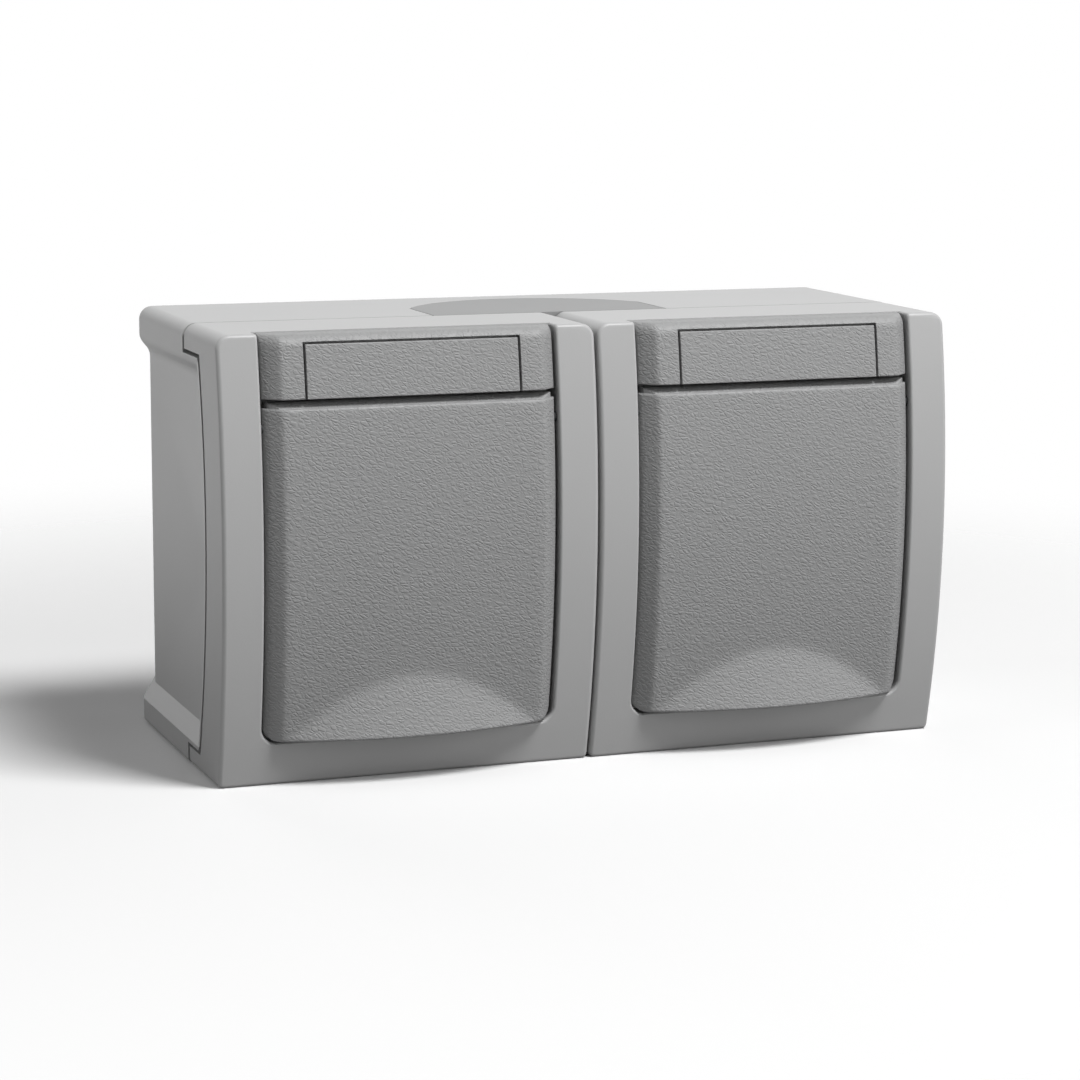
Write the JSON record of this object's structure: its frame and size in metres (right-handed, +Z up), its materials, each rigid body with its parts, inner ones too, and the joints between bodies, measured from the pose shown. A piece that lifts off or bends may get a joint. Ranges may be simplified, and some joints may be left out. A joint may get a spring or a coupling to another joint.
{
  "type": "outdoor weatherproof socket",
  "caption": "Surface-mounted weatherproof socket, two gangs side by side in one wall box, each with a spring-closed hinged lid over a recessed earthed socket.",
  "frame": {"origin": "middle of the back face, on the wall", "axes": "+X to the right along the two gangs seen from the front, +Z up, the front faces -Y"},
  "size_m": [0.142, 0.064, 0.0812],
  "materials": {
    "light_plastic": "satin light grey moulding",
    "grained_plastic": "dark grey moulding with a fine leather grain",
    "panel_plastic": "dark grey soft moulding",
    "socket_plastic": "dark grey moulding",
    "base_plastic": "black moulding",
    "seal_rubber": "soft black rubber",
    "steel": "zinc plated",
    "contact_brass": "plain"
  },
  "bodies": {
    "body": {"back_box": "light_plastic", "cable_entry_panel": "panel_plastic", "left_front_cover": "light_plastic", "left_cover_gasket": "seal_rubber", "left_hinge_block": "grained_plastic", "left_label_insert": "grained_plastic", "left_hinge_pin": "steel", "left_lid_spring": "steel", "left_lid_seal": "seal_rubber", "left_socket_face": "socket_plastic", "left_contact_base": "base_plastic", "left_live_contact": "contact_brass", "left_neutral_contact": "contact_brass", "left_earth_clip": "contact_brass", "left_terminal_screws": "steel", "left_cover_screws": "steel", "left_base_screws": "steel", "left_face_screw": "steel", "right_front_cover": "light_plastic", "right_cover_gasket": "seal_rubber", "right_hinge_block": "grained_plastic", "right_label_insert": "grained_plastic", "right_hinge_pin": "steel", "right_lid_spring": "steel", "right_lid_seal": "seal_rubber", "right_socket_face": "socket_plastic", "right_contact_base": "base_plastic", "right_live_contact": "contact_brass", "right_neutral_contact": "contact_brass", "right_earth_clip": "contact_brass", "right_terminal_screws": "steel", "right_cover_screws": "steel", "right_base_screws": "steel", "right_face_screw": "steel"},
    "left_lid": {"left_lid": "grained_plastic"},
    "right_lid": {"right_lid": "grained_plastic"}
  },
  "joints": [
    {"name": "left_lid_hinge", "type": "hinge", "parent": "body", "child": "left_lid", "pos_m": [-0.0355, -0.0584, 0.024], "axis": [-1, 0, 0], "range_deg": [0, 100], "stiffness_Nm_per_rad": 0.01, "springref_deg": -34.38},
    {"name": "right_lid_hinge", "type": "hinge", "parent": "body", "child": "right_lid", "pos_m": [0.0355, -0.0584, 0.024], "axis": [-1, 0, 0], "range_deg": [0, 100], "stiffness_Nm_per_rad": 0.01, "springref_deg": -34.38}
  ]
}
